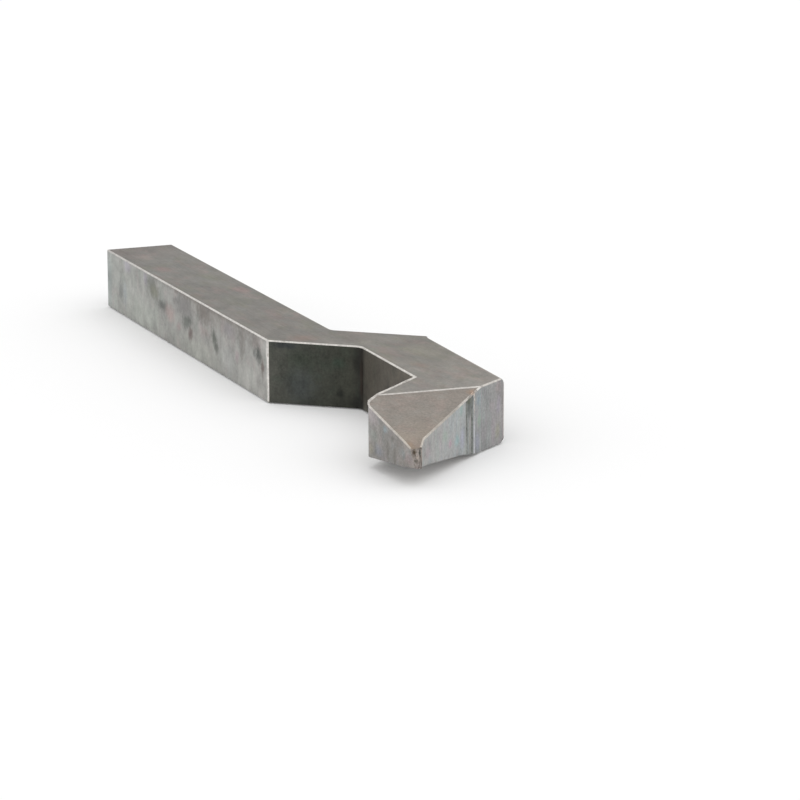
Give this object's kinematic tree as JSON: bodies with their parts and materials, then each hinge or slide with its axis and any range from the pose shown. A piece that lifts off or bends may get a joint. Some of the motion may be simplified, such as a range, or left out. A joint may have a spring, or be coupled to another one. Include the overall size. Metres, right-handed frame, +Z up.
{
  "type": "offset pin punch",
  "caption": "Cranked steel bar punch lying flat: straight rectangular shank, sideways offset, parallel leg and a blunt double-bevelled nose back in line with the shank.",
  "frame": {"origin": "middle of the bounding box in plan, on the plane that the bar lies on", "axes": "+X along the shank towards the nose, +Y to the side that the crank steps out to, +Z up through the bar's thickness"},
  "size_m": [0.1402, 0.025, 0.01],
  "materials": {
    "steel": "ground bar steel with dark scale on the inner faces and slight heat tint at the nose"
  },
  "bodies": {
    "root": {"offset_punch": "steel"}
  },
  "joints": []
}
